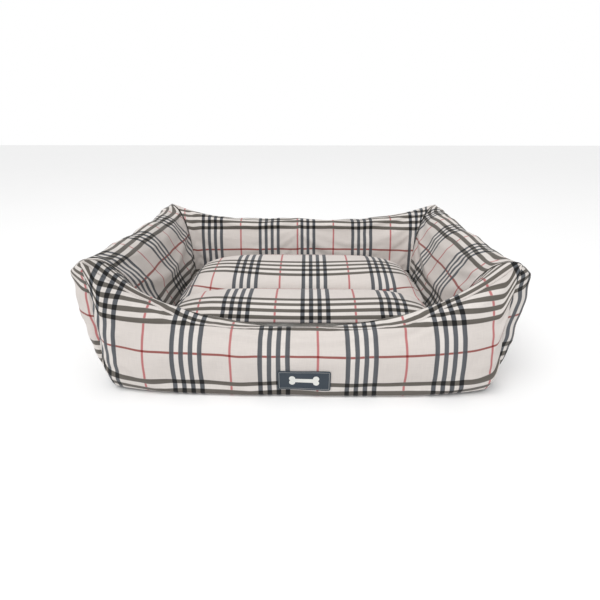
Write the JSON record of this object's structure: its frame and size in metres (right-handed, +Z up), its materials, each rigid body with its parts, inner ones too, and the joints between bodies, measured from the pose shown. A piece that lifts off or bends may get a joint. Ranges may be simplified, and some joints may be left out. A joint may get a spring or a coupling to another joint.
{
  "type": "pet cushion bed",
  "caption": "Low rectangular pet bed with stuffed plaid bolster walls, pointed corners, a dipped front entry and a loose two-lobe seat cushion with a zip.",
  "frame": {"origin": "on the floor under the middle of the bed", "axes": "+X to the bed's right seen from the front, +Y from the dipped front wall to the back wall, +Z up"},
  "size_m": [0.652, 0.493, 0.209],
  "materials": {
    "plaid_fabric": "matt slub weave, cream ground with four-bar charcoal check and fine red lines",
    "fibre_filling": "soft matt white polyester fibre",
    "liner_fabric": "plain matt weave",
    "underside_fabric": "dark matt fabric with small grip dots",
    "zip_tape": "matt woven tape with nylon coil",
    "zip_metal": "satin cast metal",
    "woven_label": "dense satin weave, slate blue"
  },
  "bodies": {
    "bed": {"front_wall_outer_panel": "plaid_fabric", "front_wall_inner_panel": "plaid_fabric", "back_wall_cover_left": "plaid_fabric", "back_wall_cover_right": "plaid_fabric", "left_wall_cover": "plaid_fabric", "right_wall_cover": "plaid_fabric", "front_wall_fill": "fibre_filling", "back_wall_fill": "fibre_filling", "left_wall_fill": "fibre_filling", "right_wall_fill": "fibre_filling", "label_patch": "woven_label", "base_underside": "underside_fabric", "base_pad": "fibre_filling", "base_liner": "liner_fabric"},
    "cushion": {"cushion_top_panel": "plaid_fabric", "cushion_bottom_panel": "plaid_fabric", "cushion_fill_front": "fibre_filling", "cushion_fill_back": "fibre_filling", "zip_tape_upper": "zip_tape", "zip_tape_lower": "zip_tape", "zip_stop_left": "zip_metal", "zip_stop_right": "zip_metal"},
    "zip_slider": {"zip_slider": "zip_metal"},
    "zip_pull": {"zip_pull": "zip_metal"}
  },
  "joints": [
    {"name": "cushion_lift", "type": "slide", "parent": "bed", "child": "cushion", "axis": [0, 0, 1], "range_m": [0, 0.24]},
    {"name": "zip_run", "type": "slide", "parent": "cushion", "child": "zip_slider", "axis": [-1, 0, 0], "range_m": [0, 0.296]},
    {"name": "pull_swing", "type": "hinge", "parent": "zip_slider", "child": "zip_pull", "pos_m": [0.148, 0.149, 0.068], "axis": [0, 0, -1], "range_deg": [0, 170]}
  ]
}
